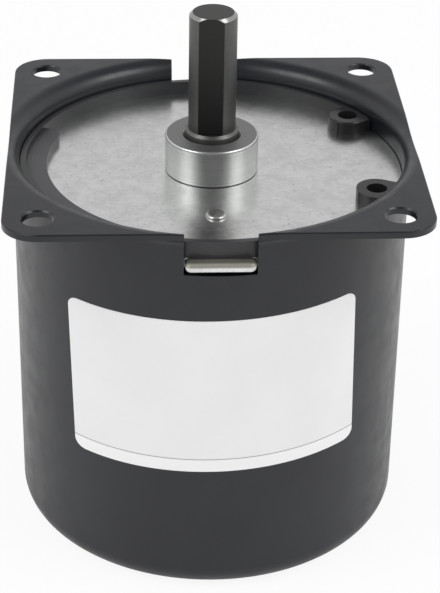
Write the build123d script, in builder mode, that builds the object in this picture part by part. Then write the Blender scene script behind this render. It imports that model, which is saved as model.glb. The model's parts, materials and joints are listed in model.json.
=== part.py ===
from build123d import *

import os
from math import acos, asin, cos, degrees, hypot, pi, radians, sin, tan

# Synchronous gear motor, 60 mm class. Millimetres, +Z along the output shaft, -Y towards the
# nameplate. The origin is the centre of the can's base.
# A deep-drawn can holds, from its base up: the rear plate, two claw-pole stator units about a
# magnet rotor, the gear plate, a two-stage gear train, the front plate and its moulded ring.

# Can
can_d = 59.0
sheet = 1.0
base_round = 3.5
flange_lip = 0.5
flange_corner = 5.0
bend_r = 2.6
bolt_inset = 5.0
bolt_hole_d = 4.5
bolt_hole_break = 0.2
edge_break = 0.2
slot_w = 10.2
slot_below_tab = 0.6
recess = 4.8

# Plates
front_plate_t = 1.5
gear_plate_t = 2.0
plate_clearance = 0.12
tab_gap = 0.15
tab_corner = 0.9
tab_edge = 0.65

# Boss, the plain bearing of the output shaft
boss_d = 13.8
boss_above_plate = 5.7
boss_round = 0.35
boss_mouth = 0.4
boss_lip = 1.4
spigot_drop = 2.1

# Moulded ring on the front plate
rim_t = 0.85
rim_h = 1.8
key_h = 2.6
key_margin = 1.5
shelf_w = 3.88
shelf_h = 1.2
shelf_start = 155.0
shelf_sweep = 95.0
shelf_corner = 2.0
ear_h = 1.9
ear_wall = 1.5
ear_inset = 2.43
ear_angles = (32.8, -25.2)
ear_edge = 0.3
ear_hole_d = 3.0
peg_wall = 0.8
peg_drop = 3.0
peg_clearance = 0.1

# Output shaft
shaft_d = 7.0
shaft_reach = 20.0
shaft_flat = 3.0
flat_turn = -7.0
shaft_chamfer = 0.5
journal_step = 0.45
journal_above_boss = 1.0
gear_seat_step = 0.95
running_fit = 0.05

# Gears
gear_room = 0.78
pressure_angle = radians(20.0)
profile_shift = 0.3
backlash = 0.06
dedendum = 1.25
rotor_pinion_teeth = 13
idler_wheel_teeth = 39
idler_pinion_teeth = 12
output_gear_teeth = 40
wheel_face = 3.0
output_face = 5.0
pinion_margin = 0.3
gear_gap = 0.8
axial_play = 0.1
washer_t = 0.5

# Gear spindle, posts and their screws
spindle_d = 2.2
spindle_head_w = 0.45
spindle_head_h = 0.5
spindle_head_round = 0.45
spindle_washer_d = 4.6
post_edge = 1.58
post_wall = 1.5
post_count = 3
screw_d = 3.0
screw_depth = 7.0
screw_head_d = 5.5
screw_head_land = 0.2
screw_socket_d = 2.2
screw_socket_depth = 0.9
screw_hole_gap = 0.1
screw_end_gap = 0.5

# Rotor
rotor_shaft_d = 3.0
magnet_d = 25.0
magnet_wall = 4.0
rotor_end_gap = 0.3
bush_d = 7.0
bush_proud = 1.0
spring_washer_h = 0.8
spring_washer_t = 0.3
shaft_end_gap = 0.3
hub_core_d = 9.0
hub_shell = 1.2
hub_web_t = 3.0

# Stator
air_gap = 0.5
unit_h = 18.45
pole_t = 1.2
pole_clearance = 0.6
cup_wall = 1.0
claw_count = 6
claw_foot_w = 5.4
claw_tip_w = 3.0
claw_gap = 1.0
bobbin_wall = 0.9
bobbin_clearance = 0.15
bobbin_flange_gap = 0.4
winding_inset = 4.0
terminal_w = 7.0
terminal_h = 7.0
terminal_gap = 0.4
pin_d = 0.8
pin_pitch = 3.0
pin_reach = 0.35
pin_stand = 0.6

# Lead exit, in the back of the can
lead_z = 8.2
lead_hole_d = 7.0
grommet_wall = 1.4
grommet_lip_w = 1.0
grommet_lip_t = 0.5

# Nameplate
label_w = 45.4
label_h = 25.3
label_t = 0.1
label_corner = 1.5
label_below_top = 26.75
label_shift = -0.46
label_tilt = 1.5

# Radii and widths worked out from the sizes above
can_r = can_d / 2
can_in_r = can_r - sheet
flange_w = can_d + 2 * flange_lip
bolt_pitch = flange_w - 2 * bolt_inset
tab_w = slot_w - 2 * tab_gap
plate_r = can_in_r - plate_clearance
boss_r = boss_d / 2
spigot_r = boss_r - boss_lip
shaft_r = shaft_d / 2
journal_r = shaft_r + journal_step
gear_seat_r = journal_r - gear_seat_step
boss_bore_r = journal_r + running_fit
ear_hole_r = ear_hole_d / 2
ear_r = ear_hole_r + ear_wall
peg_r = ear_hole_r + peg_wall
spindle_r = spindle_d / 2
spindle_bore_r = spindle_r + running_fit
post_r = screw_d / 2 + post_wall
post_circle_r = plate_r - post_edge - post_r
bush_r = bush_d / 2
rotor_shaft_r = rotor_shaft_d / 2
rotor_bush_bore_r = rotor_shaft_r + running_fit
magnet_r = magnet_d / 2
magnet_bore_r = magnet_r - magnet_wall
stator_bore_r = magnet_r + air_gap
claw_out_r = stator_bore_r + pole_t
cup_r = can_in_r - pole_clearance
bobbin_in_r = claw_out_r + bobbin_clearance
bobbin_flange_r = cup_r - cup_wall - bobbin_flange_gap
lead_hole_r = lead_hole_d / 2
grommet_bore_r = lead_hole_r - grommet_wall
lip_r = lead_hole_r + grommet_lip_w

# Gear module: the idler wheel's teeth reach to gear_room from the can's wall
train_teeth = (idler_pinion_teeth + output_gear_teeth) / 2 + idler_wheel_teeth / 2 + 1 - profile_shift
module = (can_in_r - gear_room) / train_teeth

# Heights, from the base up
stator_z = base_round
gear_plate_z = stator_z + 2 * unit_h
bay_z = gear_plate_z + gear_plate_t
wheel_z = bay_z + washer_t + 2 * axial_play
wheel_top = wheel_z + wheel_face
output_gear_z = wheel_top + gear_gap
output_gear_top = output_gear_z + output_face
boss_z = output_gear_top + washer_t + 2 * axial_play
front_plate_z = boss_z + spigot_drop
front_plate_top = front_plate_z + front_plate_t
height = front_plate_top + recess
boss_top = front_plate_top + boss_above_plate
journal_top = boss_top + journal_above_boss
shaft_top = height + shaft_reach
slot_floor = front_plate_z - slot_below_tab
lower_bush_top = stator_z + bush_proud
rotor_z = lower_bush_top + spring_washer_h + axial_play
upper_bush_z = gear_plate_z - bush_proud
rotor_top = upper_bush_z - rotor_end_gap
rotor_pinion_z = wheel_z - pinion_margin
rotor_pinion_top = wheel_top + pinion_margin
idler_pinion_top = output_gear_top + pinion_margin

# The idler turns on a spindle that stands one centre distance in front of the output axis
centre_distance = module * (idler_pinion_teeth + output_gear_teeth) / 2
idler_centre = (0, -centre_distance)
towards_idler = -90.0
towards_output = 90.0


def tube(outer_r, inner_r, low, high, centre=(0, 0)):
    """A washer, bush or tube parallel to Z."""
    with BuildPart() as piece:
        with BuildSketch(Plane.XY.offset(low)):
            with Locations(centre):
                Circle(outer_r)
                Circle(inner_r, mode=Mode.SUBTRACT)
        extrude(amount=high - low)
    return piece.part


def band(inner_r, outer_r, start, sweep):
    """A flat arc-shaped face about the origin, from angle start over sweep degrees."""
    with BuildSketch() as face:
        with BuildLine():
            outer = CenterArc((0, 0), outer_r, start, sweep)
            inner = CenterArc((0, 0), inner_r, start, sweep)
            Line(outer @ 0, inner @ 0)
            Line(outer @ 1, inner @ 1)
        make_face()
    return face.sketch


def involute(base_r, radius):
    """The polar angle that an involute has turned through where it reaches a radius."""
    angle = acos(min(1.0, base_r / radius))
    return tan(angle) - angle


def root_radius(teeth, shift):
    """The radius of the gaps' floor between a gear's teeth."""
    return module * (teeth / 2 - dedendum + shift)


def tooth(teeth, shift):
    """One gear tooth about the X axis, with its foot inside the root circle."""
    pitch_r = module * teeth / 2
    base_r = pitch_r * cos(pressure_angle)
    tip_r = pitch_r + module * (1 + shift)
    root_r = root_radius(teeth, shift)
    thickness = module * (pi / 2 + 2 * shift * tan(pressure_angle)) - backlash
    half_angle = thickness / (2 * pitch_r) + involute(base_r, pitch_r)
    start_r = max(base_r, root_r)
    radii = [start_r + (tip_r - start_r) * step / 4 for step in range(5)]
    angles = [half_angle - involute(base_r, radius) for radius in radii]
    foot_r = root_r - module / 4
    foot = (foot_r * cos(angles[0]), foot_r * sin(angles[0]))
    with BuildSketch() as face:
        with BuildLine():
            flank = Spline(*[(r * cos(a), r * sin(a)) for r, a in zip(radii, angles)])
            other = mirror(flank, about=Plane.XZ)
            ThreePointArc(flank @ 1, (tip_r, 0), other.edge() @ 1)
            Polyline(flank @ 0, foot, (foot[0], -foot[1]), other.edge() @ 0)
        make_face()
    return face.sketch


def gear(teeth, shift, low, high, bore_r, centre, first_tooth):
    """A spur gear with one tooth centred at the angle first_tooth."""
    one_tooth = tooth(teeth, shift)
    with BuildPart() as piece:
        with BuildSketch(Plane.XY.offset(low)):
            with Locations(centre):
                Circle(root_radius(teeth, shift))
                with PolarLocations(0, teeth, start_angle=first_tooth):
                    add(one_tooth)
                Circle(bore_r, mode=Mode.SUBTRACT)
        extrude(amount=high - low)
    return piece.part


def claw_ring(foot, tip, first_claw):
    """The ring of tapered pole fingers bent up or down from a pole plate's inner edge."""
    with BuildPart() as one_claw:
        with BuildSketch(Plane.YZ):
            with BuildLine():
                Polyline(
                    (-claw_foot_w / 2, foot),
                    (claw_foot_w / 2, foot),
                    (claw_tip_w / 2, tip),
                    (-claw_tip_w / 2, tip),
                    close=True,
                )
            make_face()
        extrude(amount=claw_out_r)
        add(tube(claw_out_r, stator_bore_r, min(foot, tip), max(foot, tip)), mode=Mode.INTERSECT)
    with BuildPart() as piece:
        with PolarLocations(0, claw_count, start_angle=first_claw):
            add(one_claw.part)
    return piece.part


def terminal_z(low):
    """The height of a unit's terminal block, in line with the lead exit in the lower unit."""
    return low - stator_z + lead_z


def pole_cup(low):
    """A stator unit's lower pole: disc, outer wall with a terminal window, and fingers."""
    with BuildPart() as piece:
        add(tube(cup_r, stator_bore_r, low, low + pole_t))
        add(tube(cup_r, cup_r - cup_wall, low, low + unit_h - pole_t))
        add(claw_ring(low, low + unit_h - pole_t - claw_gap, 0))
        with BuildSketch(Plane.XZ.offset(-bobbin_flange_r)):
            with Locations((0, terminal_z(low))):
                Rectangle(terminal_w + 2 * terminal_gap, terminal_h + 2 * terminal_gap)
        extrude(amount=bobbin_flange_r - can_r, mode=Mode.SUBTRACT)
    return piece.part


def pole_plate(low):
    """A stator unit's upper pole: a disc that closes the cup, with fingers that hang down."""
    top = low + unit_h
    with BuildPart() as piece:
        add(tube(cup_r, stator_bore_r, top - pole_t, top))
        add(claw_ring(top, low + pole_t + claw_gap, 180 / claw_count))
    return piece.part


def bobbin(low):
    """A coil former: a sleeve round the fingers with a flange at each end."""
    bottom = low + pole_t + bobbin_clearance
    top = low + unit_h - pole_t - bobbin_clearance
    with BuildPart() as piece:
        add(tube(bobbin_in_r + bobbin_wall, bobbin_in_r, bottom, top))
        add(tube(bobbin_flange_r, bobbin_in_r, bottom, bottom + bobbin_wall))
        add(tube(bobbin_flange_r, bobbin_in_r, top - bobbin_wall, top))
    return piece.part


def winding(low):
    """The copper coil in a bobbin's groove."""
    bottom = low + pole_t + bobbin_clearance + bobbin_wall
    top = low + unit_h - pole_t - bobbin_clearance - bobbin_wall
    return tube(bobbin_flange_r - winding_inset, bobbin_in_r + bobbin_wall, bottom, top)


def terminal_block(low):
    """The block in the cup's window that holds a coil's two pins."""
    with BuildPart() as piece:
        with BuildSketch(Plane.XZ):
            with Locations((0, terminal_z(low))):
                Rectangle(terminal_w, terminal_h)
                with GridLocations(pin_pitch, 0, 2, 1):
                    Circle(pin_d / 2, mode=Mode.SUBTRACT)
        extrude(amount=-can_r)
        add(tube(cup_r - pin_stand, bobbin_flange_r, 0, height), mode=Mode.INTERSECT)
    return piece.part


def terminal_pins(low):
    """Two pins through the terminal block, which end level with the cup's wall."""
    inner_y = bobbin_flange_r - pin_reach
    with BuildPart() as piece:
        with BuildSketch(Plane.XZ.offset(-inner_y)):
            with Locations((0, terminal_z(low))):
                with GridLocations(pin_pitch, 0, 2, 1):
                    Circle(pin_d / 2)
        extrude(amount=inner_y - cup_r)
    return piece.part


def at_posts():
    """The places of the posts: on the right, at the back and on the left."""
    return PolarLocations(post_circle_r, post_count, angular_range=180, endpoint=True)


def screw_form(gap):
    """A countersunk screw on the Z axis, or with a gap the room that it needs."""
    head_r = screw_head_d / 2 + gap
    thread_r = screw_d / 2 + gap
    neck_z = gear_plate_z + screw_head_land + head_r - thread_r
    tip_z = bay_z + screw_depth - screw_end_gap
    with BuildPart() as piece:
        with BuildSketch(Plane.XZ):
            with BuildLine():
                Polyline(
                    (0, gear_plate_z),
                    (head_r, gear_plate_z),
                    (head_r, gear_plate_z + screw_head_land),
                    (thread_r, neck_z),
                    (thread_r, tip_z),
                    (0, tip_z),
                    close=True,
                )
            make_face()
        revolve(axis=Axis.Z)
    return piece.part


def grommet_layer(radius, inner_r, outer_r):
    """A washer about the lead exit, curved to lie between two radii of the can."""
    with BuildPart() as piece:
        with BuildSketch(Plane.XZ):
            with Locations((0, lead_z)):
                Circle(radius)
                Circle(grommet_bore_r, mode=Mode.SUBTRACT)
        extrude(amount=-flange_w)
        add(tube(outer_r, inner_r, 0, height), mode=Mode.INTERSECT)
    return piece.part


def from_axis(place):
    """How far a vertex lies from the output axis."""
    return round(hypot(place.X, place.Y), 3)


def corner(sketch, x, y):
    """The sketch's vertex nearest to a place in its own plane."""
    return sketch.vertices().sort_by_distance((x, y, 0))[0]


def is_flange_rim(edge):
    """Whether an edge runs along the top of the flange's outline."""
    middle = edge @ 0.5
    over_lip = max(abs(middle.X), abs(middle.Y)) > can_r
    return over_lip and edge.bounding_box().size.Z < sheet / 2 and middle.Z > height - sheet / 2


# Can: a drawn cup whose wall bends outwards into a square flange
with BuildPart() as housing_can:
    with BuildSketch(Plane.XZ) as wall:
        with BuildLine():
            Polyline(
                (0, 0),
                (can_r, 0),
                (can_r, height - sheet),
                (flange_w, height - sheet),
                (flange_w, height),
                (can_in_r, height),
                (can_in_r, sheet),
                (0, sheet),
                close=True,
            )
        make_face()
        fillet(corner(wall, can_r, 0), base_round)
        fillet(corner(wall, can_in_r, sheet), base_round - sheet)
        fillet(corner(wall, can_r, height - sheet), bend_r - sheet)
        fillet(corner(wall, can_in_r, height), bend_r)
    revolve(axis=Axis.Z)
    with BuildSketch():
        RectangleRounded(flange_w, flange_w, flange_corner)
    extrude(amount=height, mode=Mode.INTERSECT)
    with BuildSketch(Plane.XY.offset(height)):
        with GridLocations(bolt_pitch, bolt_pitch, 2, 2):
            Circle(bolt_hole_d / 2)
    extrude(amount=-2 * sheet, mode=Mode.SUBTRACT)
    with BuildSketch(Plane.XY.offset(slot_floor)):
        with GridLocations(0, 2 * can_r, 1, 2):
            Rectangle(slot_w, can_r)
    extrude(amount=height, mode=Mode.SUBTRACT)
    with BuildSketch(Plane.XZ):
        with Locations((0, lead_z)):
            Circle(lead_hole_d / 2)
    extrude(amount=-flange_w, mode=Mode.SUBTRACT)
    rims = housing_can.edges().filter_by(GeomType.CIRCLE).group_by(Axis.Z)[-1]
    chamfer(rims.filter_by(lambda rim: rim.radius < bolt_hole_d), bolt_hole_break)
    fillet(housing_can.edges().filter_by(is_flange_rim), edge_break)

# Front plate: a zinc-plated disc whose two tabs stand in the can's slots
ear_centre_r = plate_r - ear_inset
ear_spots = [(ear_centre_r * cos(radians(a)), ear_centre_r * sin(radians(a))) for a in ear_angles]
with BuildPart() as front_plate:
    with BuildSketch(Plane.XY.offset(front_plate_z)) as tabs:
        RectangleRounded(tab_w, flange_w, tab_corner)
    extrude(amount=front_plate_t)
    broad_faces = front_plate.faces().filter_by(Axis.Z)
    fillet(broad_faces.edges(), tab_edge)
    with BuildSketch(Plane.XY.offset(front_plate_z)):
        Circle(plate_r)
    extrude(amount=front_plate_t)
    with BuildSketch(Plane.XY.offset(front_plate_z)):
        Circle(spigot_r)
        with Locations(idler_centre):
            Circle(spindle_r)
        with Locations(*ear_spots):
            Circle(peg_r + peg_clearance)
    extrude(amount=front_plate_t, mode=Mode.SUBTRACT)

# Boss: a turned bush with a spigot pressed through the front plate
with BuildPart() as bearing_boss:
    with BuildSketch(Plane.XZ) as section:
        with BuildLine():
            Polyline(
                (boss_bore_r, boss_z),
                (spigot_r, boss_z),
                (spigot_r, front_plate_top),
                (boss_r, front_plate_top),
                (boss_r, boss_top),
                (boss_bore_r, boss_top),
                close=True,
            )
        make_face()
        fillet(corner(section, boss_r, boss_top), boss_round)
        chamfer(corner(section, boss_bore_r, boss_top), boss_mouth)
    revolve(axis=Axis.Z)

# Moulded ring: a rim open on the right, raised behind the front slot, with a wide shelf on the
# left and an ear at each end, whose hollow pegs pass through the front plate
rim_r = plate_r
rim_in_r = rim_r - rim_t
rim_start = ear_angles[0]
rim_sweep = 360 + ear_angles[1] - rim_start
key_half_angle = degrees(asin((slot_w / 2 + key_margin) / rim_r))
with BuildPart() as case_ring:
    with BuildSketch(Plane.XY.offset(front_plate_top)):
        for angle in ear_angles:
            with PolarLocations(0, 1, start_angle=angle):
                with Locations((ear_centre_r, 0)):
                    Circle(ear_r)
                with Locations((rim_r - ear_inset / 2, 0)):
                    Rectangle(ear_inset, 2 * ear_r)
        Circle(rim_r, mode=Mode.INTERSECT)
    extrude(amount=ear_h)
    fillet(case_ring.faces().sort_by(Axis.Z)[-1].edges(), ear_edge)
    with BuildSketch(Plane.XY.offset(front_plate_top)):
        add(band(rim_in_r, rim_r, rim_start, rim_sweep))
    extrude(amount=rim_h)
    with BuildSketch(Plane.XY.offset(front_plate_top)):
        add(band(rim_in_r, rim_r, -90 - key_half_angle, 2 * key_half_angle))
    extrude(amount=key_h)
    with BuildSketch(Plane.XY.offset(front_plate_top)):
        shelf = add(band(rim_r - shelf_w, rim_r, shelf_start, shelf_sweep))
        fillet(shelf.vertices().group_by(from_axis)[0], shelf_corner)
    extrude(amount=shelf_h)
    with BuildSketch(Plane.XY.offset(front_plate_z - peg_drop)):
        with Locations(*ear_spots):
            Circle(peg_r)
    extrude(amount=front_plate_t + peg_drop)
    with BuildSketch(Plane.XY.offset(front_plate_z - peg_drop)):
        with Locations(*ear_spots):
            Circle(ear_hole_r)
    extrude(amount=height, mode=Mode.SUBTRACT)

# Output shaft: a D-section above a round journal, with a reduced seat for the output gear
with BuildPart() as output_shaft:
    with BuildSketch(Plane.XZ) as section:
        with BuildLine():
            Polyline(
                (0, output_gear_z),
                (gear_seat_r, output_gear_z),
                (gear_seat_r, output_gear_top),
                (journal_r, output_gear_top),
                (journal_r, journal_top),
                (shaft_r, journal_top),
                (shaft_r, shaft_top),
                (0, shaft_top),
                close=True,
            )
        make_face()
        chamfer(corner(section, shaft_r, shaft_top), shaft_chamfer)
        chamfer(corner(section, journal_r, journal_top), boss_mouth)
    revolve(axis=Axis.Z)
    with BuildSketch(Plane.XY.rotated((0, 0, flat_turn)).offset(journal_top)):
        with Locations((0, -shaft_flat - shaft_r)):
            Rectangle(2 * shaft_d, shaft_d)
    extrude(amount=shaft_reach, mode=Mode.SUBTRACT)

output_gear = gear(
    output_gear_teeth,
    -profile_shift,
    output_gear_z,
    output_gear_top,
    gear_seat_r,
    (0, 0),
    towards_idler,
)
thrust_washer_z = output_gear_top + axial_play
thrust_washer = tube(spigot_r, journal_r + axial_play, thrust_washer_z, thrust_washer_z + washer_t)

# Idler: a wheel and a pinion on one spindle, which is riveted over on the front plate
idler_wheel = gear(
    idler_wheel_teeth,
    -profile_shift,
    wheel_z,
    wheel_top,
    spindle_bore_r,
    idler_centre,
    towards_output + 180 / idler_wheel_teeth,
)
idler_pinion = gear(
    idler_pinion_teeth,
    profile_shift,
    wheel_top,
    idler_pinion_top,
    spindle_bore_r,
    idler_centre,
    towards_output + 180 / idler_pinion_teeth,
)
with BuildPart() as gear_spindle:
    with BuildSketch(Plane.XY.offset(gear_plate_z)):
        with Locations(idler_centre):
            Circle(spindle_r)
    extrude(amount=front_plate_top - gear_plate_z)
    with BuildSketch(Plane.XY.offset(front_plate_top)):
        with Locations(idler_centre):
            Circle(spindle_r + spindle_head_w)
    extrude(amount=spindle_head_h)
    fillet(gear_spindle.faces().sort_by(Axis.Z)[-1].edges(), spindle_head_round)
spindle_washer = tube(
    spindle_washer_d / 2,
    spindle_bore_r,
    bay_z + axial_play,
    bay_z + axial_play + washer_t,
    idler_centre,
)
spindle_spacer = tube(
    spindle_washer_d / 2,
    spindle_bore_r,
    idler_pinion_top + axial_play,
    front_plate_z - axial_play,
    idler_centre,
)

# Posts between the plates, welded behind the front plate and screwed from below
with BuildPart() as plate_posts:
    with BuildSketch(Plane.XY.offset(bay_z)):
        with at_posts():
            Circle(post_r)
            Circle(screw_d / 2, mode=Mode.SUBTRACT)
    extrude(amount=screw_depth)
    with BuildSketch(Plane.XY.offset(bay_z + screw_depth)):
        with at_posts():
            Circle(post_r)
    extrude(amount=front_plate_z - bay_z - screw_depth)
with BuildPart() as one_screw:
    add(screw_form(0))
    with BuildSketch(Plane.XY.offset(gear_plate_z)):
        RegularPolygon(screw_socket_d / 2, 6)
    extrude(amount=screw_socket_depth, mode=Mode.SUBTRACT)
with BuildPart() as post_screws:
    with at_posts():
        add(one_screw.part)
screw_room = screw_form(screw_hole_gap)
with BuildPart() as gear_plate:
    with BuildSketch(Plane.XY.offset(gear_plate_z)):
        Circle(plate_r)
        Circle(bush_r, mode=Mode.SUBTRACT)
        with Locations(idler_centre):
            Circle(spindle_r, mode=Mode.SUBTRACT)
    extrude(amount=gear_plate_t)
    with at_posts():
        add(screw_room, mode=Mode.SUBTRACT)

# Rotor: a ring magnet on a moulded hub, whose shaft drives the idler through a pinion
upper_bush = tube(bush_r, rotor_bush_bore_r, upper_bush_z, bay_z)
lower_bush = tube(bush_r, rotor_bush_bore_r, sheet, lower_bush_top)
rotor_pinion = gear(
    rotor_pinion_teeth,
    profile_shift,
    rotor_pinion_z,
    rotor_pinion_top,
    rotor_shaft_r,
    (0, 0),
    towards_idler,
)
with BuildPart() as rotor_shaft:
    with BuildSketch(Plane.XY.offset(sheet + shaft_end_gap)):
        Circle(rotor_shaft_r)
    extrude(amount=rotor_pinion_top - sheet - shaft_end_gap)
hub_middle = (rotor_z + rotor_top) / 2
with BuildPart() as rotor_hub:
    add(tube(hub_core_d / 2, rotor_shaft_r, rotor_z, rotor_top))
    add(tube(magnet_bore_r, magnet_bore_r - hub_shell, rotor_z, rotor_top))
    add(tube(magnet_bore_r, rotor_shaft_r, hub_middle - hub_web_t / 2, hub_middle + hub_web_t / 2))
rotor_magnet = tube(magnet_r, magnet_bore_r, rotor_z, rotor_top)
with BuildPart() as spring_washer:
    with BuildSketch(Plane.XZ):
        with BuildLine():
            rise = spring_washer_h - spring_washer_t
            Polyline(
                (rotor_shaft_r + axial_play, lower_bush_top + rise),
                (bush_r, lower_bush_top),
                (bush_r, lower_bush_top + spring_washer_t),
                (rotor_shaft_r + axial_play, lower_bush_top + spring_washer_h),
                close=True,
            )
        make_face()
    revolve(axis=Axis.Z)
rear_plate = tube(can_r - base_round, bush_r, sheet, stator_z)

# Lead exit: a rubber grommet that follows the can's wall, with a lip on each side of it
with BuildPart() as lead_grommet:
    add(grommet_layer(lip_r, can_r, can_r + grommet_lip_t))
    add(grommet_layer(lead_hole_r, can_in_r - grommet_lip_t, can_r + grommet_lip_t))
    add(grommet_layer(lip_r, can_in_r - grommet_lip_t, can_in_r))

# Nameplate: foil wrapped round the front of the can
label_chord = 2 * can_r * sin(label_w / can_r / 2)
with BuildPart() as nameplate:
    with BuildSketch(Plane.XZ):
        with Locations((label_shift, height - label_below_top)):
            RectangleRounded(label_chord, label_h, label_corner, rotation=label_tilt)
    extrude(amount=flange_w)
    add(tube(can_r + label_t, can_r, 0, height), mode=Mode.INTERSECT)

pieces = {
    "housing_can": housing_can.part,
    "front_plate": front_plate.part,
    "bearing_boss": bearing_boss.part,
    "case_ring": case_ring.part,
    "output_shaft": output_shaft.part,
    "output_gear": output_gear,
    "thrust_washer": thrust_washer,
    "idler_wheel": idler_wheel,
    "idler_pinion": idler_pinion,
    "gear_spindle": gear_spindle.part,
    "spindle_washer": spindle_washer,
    "spindle_spacer": spindle_spacer,
    "plate_posts": plate_posts.part,
    "post_screws": post_screws.part,
    "gear_plate": gear_plate.part,
    "upper_bush": upper_bush,
    "lower_bush": lower_bush,
    "rotor_pinion": rotor_pinion,
    "rotor_shaft": rotor_shaft.part,
    "rotor_hub": rotor_hub.part,
    "rotor_magnet": rotor_magnet,
    "spring_washer": spring_washer.part,
    "rear_plate": rear_plate,
    "lead_grommet": lead_grommet.part,
    "nameplate": nameplate.part,
}
for unit, low in (("lower", stator_z), ("upper", stator_z + unit_h)):
    pieces[unit + "_pole_cup"] = pole_cup(low)
    pieces[unit + "_pole_plate"] = pole_plate(low)
    pieces[unit + "_bobbin"] = bobbin(low)
    pieces[unit + "_winding"] = winding(low)
    pieces[unit + "_terminal_block"] = terminal_block(low)
    pieces[unit + "_terminal_pins"] = terminal_pins(low)

os.makedirs("parts", exist_ok=True)
for name, piece in pieces.items():
    piece.label = name
    export_step(piece, f"parts/{name}.step")
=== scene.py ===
"""The looks of a 60 mm gear motor, on a white table between two soft boxes.

Lengths are metres in the part's own frame: the origin is the centre of the can's base, +Z runs up
the output shaft and -Y points at the nameplate.
"""

import json
import math

import bpy
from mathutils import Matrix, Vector


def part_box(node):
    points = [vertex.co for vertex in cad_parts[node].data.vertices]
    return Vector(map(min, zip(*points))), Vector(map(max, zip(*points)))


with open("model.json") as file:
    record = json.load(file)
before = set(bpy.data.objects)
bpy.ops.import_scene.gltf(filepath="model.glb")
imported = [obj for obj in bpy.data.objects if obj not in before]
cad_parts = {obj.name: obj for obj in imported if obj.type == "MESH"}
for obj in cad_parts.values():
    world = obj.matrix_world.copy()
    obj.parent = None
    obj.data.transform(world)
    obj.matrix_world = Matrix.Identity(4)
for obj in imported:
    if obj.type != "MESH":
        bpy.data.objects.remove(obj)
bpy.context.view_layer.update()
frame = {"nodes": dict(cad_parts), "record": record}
nodes = frame["nodes"]
scene = bpy.context.scene

MM = 0.001

# Where a finish or a painted shade changes on a piece.
plate_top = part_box("front_plate")[1].z
tab_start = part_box("case_ring")[1].y + 0.02 * MM
ring_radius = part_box("case_ring")[1].x
boss_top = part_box("bearing_boss")[1].z
# The height of the ring of painted shade at the foot of the boss.
painted_seam_shade_height = 0.14 * MM
journal_top = boss_top + 1.0 * MM
shaft_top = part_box("output_shaft")[1].z
shaft_chamfer = 0.5 * MM
flat_reach = 3.0 * MM
flat_turn = math.radians(-7)
label_height = 25.3 * MM
label_tilt = math.radians(1.5)
rule_height = 2.1 * MM
rule_width = 0.14 * MM
wire = 0.25 * MM

# The table, and how much of it shows plain white to the eye and in mirrors, where a painted shadow
# darkens it near the motor.
table_half = 3.0
table_drop = 0.02 * MM
table_glow = 0.9
table_mirrored = 0.76
shaded_reach = (30 * MM, 80 * MM)
shaded_share = 0.5

# The room's light, and how bright each part of the room is in mirrors.
world_light = 0.70
mirrored_horizon = 0.95
mirrored_walls = 0.66
mirrored_sides = 1.0
mirrored_ceiling = 0.3
mirrored_camera_side = 0.2
camera_way = Vector((0, -1, 0.58)).normalized()

# The soft boxes.
box_places = {"left": (-0.37, -0.157, 0.486), "right": (0.37, -0.157, 0.486)}
box_aim = Vector((0, 0, 0.04))
box_size = 0.26
box_power = 1.0


# ---------------------------------------------------------------- node trees


class Tree:
    """Short ways to add nodes to a material's or the world's node tree."""

    def __init__(self, owner):
        owner.use_nodes = True
        self.nodes = owner.node_tree.nodes
        self.links = owner.node_tree.links

    def add(self, kind, **settings):
        """A new node, with its settings as keywords."""
        node = self.nodes.new(kind)
        for key, value in settings.items():
            setattr(node, key, value)
        return node

    def feed(self, socket, value):
        """A constant, or another node's output, on a socket."""
        if isinstance(value, bpy.types.NodeSocket):
            self.links.new(value, socket)
        else:
            socket.default_value = value

    def math(self, operation, first, second=0.0, clamp=False):
        """One operation on one or two values."""
        node = self.add("ShaderNodeMath", operation=operation, use_clamp=clamp)
        self.feed(node.inputs[0], first)
        self.feed(node.inputs[1], second)
        return node.outputs[0]

    def ease(self, value, low, high, to_low=0.0, to_high=1.0):
        """A value eased from one range to another, and held at its ends."""
        node = self.add("ShaderNodeMapRange", interpolation_type="SMOOTHSTEP")
        for socket, setting in zip(node.inputs, (value, low, high, to_low, to_high)):
            self.feed(socket, setting)
        return node.outputs[0]

    def dot(self, place, way):
        """How far a place lies along a direction."""
        node = self.add("ShaderNodeVectorMath", operation="DOT_PRODUCT")
        self.feed(node.inputs[0], place)
        self.feed(node.inputs[1], way)
        return node.outputs["Value"]

    def mirrored(self):
        """1 for rays that a shiny or clear surface sends on, else 0."""
        rays = self.add("ShaderNodeLightPath").outputs
        return self.math("ADD", rays["Is Glossy Ray"], rays["Is Transmission Ray"], clamp=True)

    def seen(self):
        """1 for the camera's own rays, else 0."""
        return self.add("ShaderNodeLightPath").outputs["Is Camera Ray"]


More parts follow.
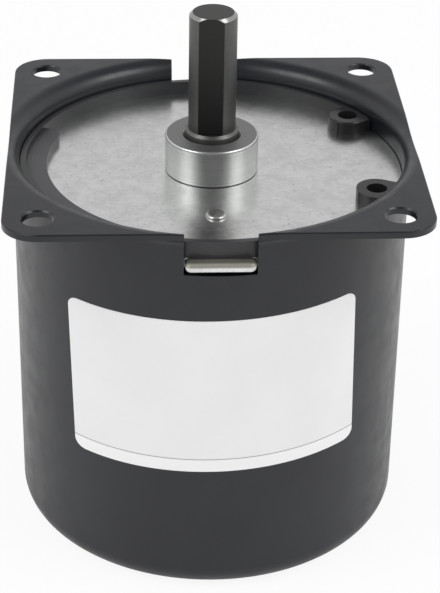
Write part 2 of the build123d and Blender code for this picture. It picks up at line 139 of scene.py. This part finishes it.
class Finish(Tree):
    """A material with one Principled shader, textured in the object's own coordinates."""

    def __init__(self, name, color, roughness=0.5, metallic=0.0):
        self.material = bpy.data.materials.new(name)
        super().__init__(self.material)
        self.shader = self.nodes["Principled BSDF"]
        self.set("Base Color", (*color, 1.0))
        self.set("Roughness", roughness)
        self.set("Metallic", metallic)
        self.place = self.add("ShaderNodeTexCoord").outputs["Object"]
        self.relief = None

    def set(self, socket, value):
        """A constant, or a node's output, on one of the shader's sockets."""
        self.feed(self.shader.inputs[socket], value)

    def axis(self, letter):
        """One of the object's own coordinates."""
        parts = self.add("ShaderNodeSeparateXYZ")
        self.feed(parts.inputs[0], self.place)
        return parts.outputs[letter]

    def radius(self):
        """The distance from the Z axis."""
        square_x = self.math("POWER", self.axis("X"), 2.0)
        square_y = self.math("POWER", self.axis("Y"), 2.0)
        return self.math("SQRT", self.math("ADD", square_x, square_y))

    def round_place(self):
        """Coordinates (radius, 0, height) about the Z axis."""
        joined = self.add("ShaderNodeCombineXYZ")
        self.feed(joined.inputs["X"], self.radius())
        self.feed(joined.inputs["Z"], self.axis("Z"))
        return joined.outputs[0]

    def noise(self, size, detail=3.0, roughness=0.5, place=None):
        """Noise from 0 to 1 whose blotches are about size metres wide."""
        node = self.add("ShaderNodeTexNoise")
        self.feed(node.inputs["Scale"], 1 / size)
        self.feed(node.inputs["Detail"], detail)
        self.feed(node.inputs["Roughness"], roughness)
        self.feed(node.inputs["Vector"], place or self.place)
        return node.outputs[0]

    def blend(self, share, first, second):
        """A mix of two colours by a share from 0 to 1."""
        node = self.add("ShaderNodeMix", data_type="RGBA")
        self.feed(node.inputs[0], share)
        for socket, value in ((node.inputs[6], first), (node.inputs[7], second)):
            self.feed(socket, value if isinstance(value, bpy.types.NodeSocket) else (*value, 1.0))
        return node.outputs[2]

    def shades(self, noise, color, dark, light, spread=0.2):
        """A colour that goes from a darker to a lighter shade of itself as a noise rises."""
        share = self.ease(noise, 0.5 - spread, 0.5 + spread)
        return self.blend(share, tinted(color, dark), tinted(color, light))

    def levels(self, noise, low, high):
        """A value that goes from a low to a high level as a noise rises."""
        return self.ease(noise, 0.3, 0.7, low, high)

    def bump(self, height, depth):
        """Adds relief of about depth metres, on top of any relief that is already there."""
        node = self.add("ShaderNodeBump")
        self.feed(node.inputs["Distance"], depth)
        self.feed(node.inputs["Height"], height)
        if self.relief:
            self.feed(node.inputs["Normal"], self.relief)
        self.relief = node.outputs["Normal"]
        self.set("Normal", self.relief)


def grey(level):
    """A colour without a hue."""
    return (level, level, level)


def tinted(color, share):
    """A darker or lighter shade of a colour."""
    return tuple(c * share for c in color)


# ---------------------------------------------------------------- materials


def enamel():
    """Satin black paint with a fine orange peel."""
    color = (0.0084, 0.0096, 0.0130)
    finish = Finish("can_enamel", color)
    finish.set("Base Color", finish.shades(finish.noise(14 * MM, detail=4), color, 0.85, 1.2))
    finish.set("Roughness", finish.levels(finish.noise(3 * MM, detail=5), 0.3, 0.39))
    finish.bump(finish.noise(0.55 * MM, detail=2), 0.005 * MM)
    return finish.material


def zinc():
    """Bright zinc plating on rolled sheet: cloudy and sparsely specked; the upper half of each tab
    is darkened to brown as painted shade, and is rougher there.
    """
    color = (0.76, 0.77, 0.76)
    tab_shade_color = (0.42, 0.41, 0.35)
    finish = Finish("zinc_plate", color, metallic=1.0)
    fine = finish.noise(0.9 * MM, detail=4, roughness=0.65)
    mottle = finish.math("ADD", finish.noise(4 * MM, detail=5, roughness=0.6), fine)
    tone = finish.shades(finish.math("MULTIPLY", mottle, 0.5), color, 0.9, 1.07, spread=0.12)
    specks = finish.ease(finish.noise(0.55 * MM, detail=1), 0.66, 0.74, 0.0, 0.45)
    tone = finish.blend(specks, tone, tinted(color, 0.4))
    # Painted shade: the upper half of each tab turns darker and browner. The same mask also makes
    # it rougher.
    on_tab = finish.math("GREATER_THAN", finish.math("ABSOLUTE", finish.axis("Y")), tab_start)
    upper_half = finish.ease(finish.axis("Z"), plate_top - 0.75 * MM, plate_top - 0.35 * MM)
    tab_shade_and_dull = finish.math("MULTIPLY", on_tab, upper_half)
    finish.set("Base Color", finish.blend(tab_shade_and_dull, tone, tab_shade_color))
    dullness = finish.math("MULTIPLY", tab_shade_and_dull, 0.35)
    finish.set("Roughness", finish.math("ADD", finish.levels(fine, 0.23, 0.26), dullness))
    finish.bump(finish.noise(2.5 * MM, detail=3), 0.002 * MM)
    return finish.material


def turned(name, color):
    """Bare steel from the lathe: its finish, and its colour with fine rings round the axis."""
    finish = Finish(name, color, metallic=1.0)
    rings = finish.noise(0.09 * MM, place=finish.round_place())
    finish.bump(rings, 0.0015 * MM)
    return finish, finish.shades(rings, color, 0.88, 1.08)


def boss_steel():
    """A turned bush: its end face is rougher, and a thin ring of painted shade lies where it meets
    the plate.
    """
    color = (0.6, 0.61, 0.6)
    finish, tone = turned("boss_steel", color)
    height = finish.axis("Z")
    end_face = finish.math("GREATER_THAN", height, boss_top - 0.03 * MM)
    tone = finish.blend(end_face, tone, tinted(color, 0.48))
    # Painted shade: a thin dark ring at the foot of the boss, where it meets the plate.
    painted_seam_shade = finish.math("LESS_THAN", height, plate_top + painted_seam_shade_height)
    finish.set("Base Color", finish.blend(painted_seam_shade, tone, tinted(color, 0.12)))
    finish.set("Roughness", finish.ease(end_face, 0, 1, 0.3, 0.52))
    return finish.material


def shaft_steel():
    """Blackened steel: the milled flat is painted darkest as painted shade, and the chamfer is worn
    bright.
    """
    color = (0.135, 0.135, 0.131)
    finish, tone = turned("shaft_steel", color)
    height = finish.axis("Z")
    outwards = finish.dot(finish.place, (math.sin(flat_turn), -math.cos(flat_turn), 0))
    in_plane = finish.math("GREATER_THAN", outwards, flat_reach - 0.03 * MM)
    # Painted shade: the milled flat is darkened.
    painted_dark_flat = finish.math("MULTIPLY", in_plane, finish.math("GREATER_THAN", height, journal_top))
    tone = finish.blend(painted_dark_flat, tone, tinted(color, 0.32))
    end_face = finish.math("GREATER_THAN", height, shaft_top - 0.02 * MM)
    tone = finish.blend(end_face, tone, tinted(color, 0.52))
    above_sides = finish.math("GREATER_THAN", height, shaft_top - shaft_chamfer + 0.02 * MM)
    not_worn = finish.math("MAXIMUM", end_face, painted_dark_flat)
    worn = finish.math("SUBTRACT", above_sides, not_worn, clamp=True)
    finish.set("Base Color", finish.blend(worn, tone, tinted(color, 2.2)))
    finish.set("Roughness", finish.ease(worn, 0, 1, 0.42, 0.27))
    return finish.material


def post_steel():
    """Turned steel, unevenly polished."""
    finish, tone = turned("post_steel", (0.5, 0.5, 0.49))
    finish.set("Base Color", tone)
    finish.set("Roughness", finish.levels(finish.noise(1.2 * MM), 0.255, 0.36))
    return finish.material


def plain_metal(name, color, roughness, metallic=1.0):
    """A pressed, drawn or sintered metal piece."""
    finish = Finish(name, color, metallic=metallic)
    clouds = finish.noise(2.2 * MM, detail=5, roughness=0.6)
    finish.set("Base Color", finish.shades(clouds, color, 0.85, 1.1))
    fine = finish.noise(0.8 * MM)
    finish.set("Roughness", finish.levels(fine, roughness * 0.85, roughness * 1.2))
    finish.bump(finish.noise(0.35 * MM), 0.003 * MM)
    return finish.material


def moulding(name, color, roughness):
    """A moulded plastic or rubber piece."""
    finish = Finish(name, color)
    finish.set("Base Color", finish.shades(finish.noise(4 * MM, detail=4), color, 0.88, 1.12))
    fine = finish.noise(1.5 * MM)
    finish.set("Roughness", finish.levels(fine, roughness * 0.85, roughness * 1.2))
    finish.bump(finish.noise(0.5 * MM), 0.004 * MM)
    return finish.material


def ring_plastic():
    """Black plastic: greyer and rougher on the shelf, darker and glossier towards the ears, half so
    outside.
    """
    color = (0.049, 0.050, 0.054)
    finish = Finish("ring_plastic", color)
    finish.set("Specular IOR Level", 0.36)
    ears_side = finish.ease(finish.axis("X"), 5 * MM, 18 * MM)
    on_outside = finish.math("GREATER_THAN", finish.radius(), ring_radius - 0.05 * MM)
    # Darker and glossier towards +X and on the ears, half so on the outside.
    darker_glossier_share = finish.math("MAXIMUM", ears_side, finish.math("MULTIPLY", on_outside, 0.5))
    tone = finish.shades(finish.noise(4 * MM, detail=4), color, 0.88, 1.12)
    finish.set("Base Color", finish.blend(darker_glossier_share, tone, tinted(color, 0.36)))
    finish.set("Roughness", finish.ease(darker_glossier_share, 0, 1, 0.32, 0.2))
    finish.bump(finish.noise(0.5 * MM), 0.003 * MM)
    return finish.material


def wound_wire():
    """Enamelled copper wire, laid in turns one above the other, with painted shade between the
    turns and a painted highlight on their crowns.
    """
    color = (0.42, 0.135, 0.045)
    finish = Finish("copper", color, roughness=0.3, metallic=1.0)
    turns = finish.math("SINE", finish.math("MULTIPLY", finish.axis("Z"), 2 * math.pi / wire))
    # Painted shade in the creases between turns and a painted highlight on their crowns.
    painted_turn_light = finish.ease(turns, -1, 1)
    finish.set("Base Color", finish.blend(painted_turn_light, tinted(color, 0.45), tinted(color, 1.1)))
    finish.bump(turns, 0.05 * MM)
    return finish.material


def foil():
    """Blank white foil with a thin grey rule above its lower edge and a whiter band under it."""
    color = grey(0.85)
    finish = Finish("foil_label", color, roughness=0.38)
    low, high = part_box("nameplate")
    upright = Vector((-math.sin(label_tilt), 0, math.cos(label_tilt)))
    lower_edge = upright.dot((low + high) / 2) - label_height / 2
    above_edge = finish.math("SUBTRACT", finish.dot(finish.place, upright), lower_edge)
    tone = finish.shades(finish.noise(9 * MM), color, 0.985, 1.015)
    tone = finish.blend(finish.math("LESS_THAN", above_edge, rule_height), tone, grey(0.91))
    off_rule = finish.math("ABSOLUTE", finish.math("SUBTRACT", above_edge, rule_height))
    rule = finish.math("LESS_THAN", off_rule, rule_width / 2)
    finish.set("Base Color", finish.blend(rule, tone, grey(0.32)))
    finish.bump(finish.noise(1.6 * MM, detail=2), 0.002 * MM)
    return finish.material


white_plastic = (0.68, 0.67, 0.62)
materials = {
    "can_enamel": enamel(),
    "zinc_plate": zinc(),
    "boss_steel": boss_steel(),
    "shaft_steel": shaft_steel(),
    "ring_plastic": ring_plastic(),
    "gear_steel": plain_metal("gear_steel", (0.44, 0.44, 0.43), 0.35),
    "spindle_steel": plain_metal("spindle_steel", (0.5, 0.5, 0.48), 0.3),
    "post_steel": post_steel(),
    "screw_steel": plain_metal("screw_steel", (0.4, 0.4, 0.39), 0.3),
    "stator_steel": plain_metal("stator_steel", (0.45, 0.45, 0.45), 0.34),
    "bush_bronze": plain_metal("bush_bronze", (0.46, 0.27, 0.11), 0.42),
    "magnet": plain_metal("magnet", (0.035, 0.035, 0.037), 0.5, metallic=0.4),
    "hub_plastic": moulding("hub_plastic", white_plastic, 0.45),
    "bobbin_plastic": moulding("bobbin_plastic", (0.58, 0.55, 0.44), 0.5),
    "copper": wound_wire(),
    "pin_brass": plain_metal("pin_brass", (0.6, 0.58, 0.5), 0.3),
    "rear_plastic": moulding("rear_plastic", (0.05, 0.05, 0.05), 0.5),
    "grommet_rubber": moulding("grommet_rubber", (0.010, 0.010, 0.010), 0.55),
    "washer_nylon": moulding("washer_nylon", white_plastic, 0.5),
    "foil_label": foil(),
}
for subpart in frame["record"]["subparts"]:
    mesh = nodes[subpart["node"]].data
    mesh.materials.clear()
    mesh.materials.append(materials[subpart["material_slot"]])


# ---------------------------------------------------------------- table, light and camera


def add_table():
    """A white table that looks as bright as the background, and keeps a soft shadow; in mirrors it
    also carries a painted shadow near the motor.
    """
    corners = [(-1, -1), (1, -1), (1, 1), (-1, 1)]
    mesh = bpy.data.meshes.new("table")
    mesh.from_pydata([(x * table_half, y * table_half, 0) for x, y in corners], [], [(0, 1, 2, 3)])
    table = bpy.data.objects.new("table", mesh)
    table.location.z = -table_drop
    scene.collection.objects.link(table)
    finish = Finish("table_white", grey(0.9), roughness=0.9)
    finish.set("Specular IOR Level", 0.0)
    direct = finish.math("MULTIPLY", finish.seen(), table_glow)
    # Painted shadow: in mirrors the table is darker near the motor.
    painted_shadow_lightness = finish.ease(finish.radius(), *shaded_reach, shaded_share, 1.0)
    mirrored_with_painted_shadow = finish.math("MULTIPLY", painted_shadow_lightness, table_mirrored)
    share = finish.math("ADD", direct, finish.math("MULTIPLY", finish.mirrored(), mirrored_with_painted_shadow))
    mix = finish.add("ShaderNodeMixShader")
    finish.feed(mix.inputs[0], share)
    finish.feed(mix.inputs[1], finish.shader.outputs[0])
    finish.feed(mix.inputs[2], finish.add("ShaderNodeEmission").outputs[0])
    finish.feed(finish.nodes["Material Output"].inputs["Surface"], mix.outputs[0])
    mesh.materials.append(finish.material)


def set_world():
    """White to the eye; in mirrors bright at the sides and horizon, dark above and at the front."""
    scene.world = bpy.data.worlds.new("studio")
    tree = Tree(scene.world)
    way = tree.add("ShaderNodeTexCoord").outputs["Generated"]
    height = tree.dot(way, (0, 0, 1))
    sideways = tree.math("ABSOLUTE", tree.dot(way, (1, 0, 0)))
    walls = tree.ease(sideways, 0.4, 0.75, mirrored_walls, mirrored_sides)
    walls = tree.ease(height, 0.1, 0.45, mirrored_horizon, walls)
    ceiling = tree.ease(height, 0.62, 0.8, walls, mirrored_ceiling)
    camera_side = tree.ease(tree.dot(way, camera_way), 0.72, 0.98, 1.0, mirrored_camera_side)
    in_mirrors = tree.math("MULTIPLY", tree.mirrored(), tree.math("MULTIPLY", ceiling, camera_side))
    on_others = tree.math("MULTIPLY", tree.math("SUBTRACT", 1.0, tree.mirrored()), world_light)
    to_the_eye = tree.math("MULTIPLY", tree.seen(), 1.0 - world_light)
    strength = tree.math("ADD", tree.math("ADD", in_mirrors, on_others), to_the_eye)
    background = tree.nodes["Background"]
    tree.feed(background.inputs["Color"], (*grey(1.0), 1.0))
    tree.feed(background.inputs["Strength"], strength)


def add_soft_box(name, place):
    """A square soft lamp that shines at the motor's middle."""
    light = bpy.data.lights.new(name, "AREA")
    light.shape = "SQUARE"
    light.size = box_size
    light.energy = box_power
    lamp = bpy.data.objects.new(name, light)
    lamp.location = place
    lamp.rotation_euler = (box_aim - Vector(place)).to_track_quat("-Z", "Y").to_euler()
    scene.collection.objects.link(lamp)


def add_camera():
    """A long lens a third of a metre away, looking down at 30 degrees as in the photograph."""
    camera = bpy.data.objects.new("camera", bpy.data.cameras.new("camera"))
    camera.data.sensor_width = 36.0
    camera.data.lens = 121.5
    camera.data.clip_start = 0.01
    camera.location = (-0.01408, -0.26827, 0.18895)
    camera.rotation_euler = [math.radians(angle) for angle in (60.008, -0.900, -2.838)]
    scene.collection.objects.link(camera)
    scene.camera = camera


scene.view_settings.view_transform = "Standard"
add_table()
set_world()
for side, place in box_places.items():
    add_soft_box(side, place)
add_camera()
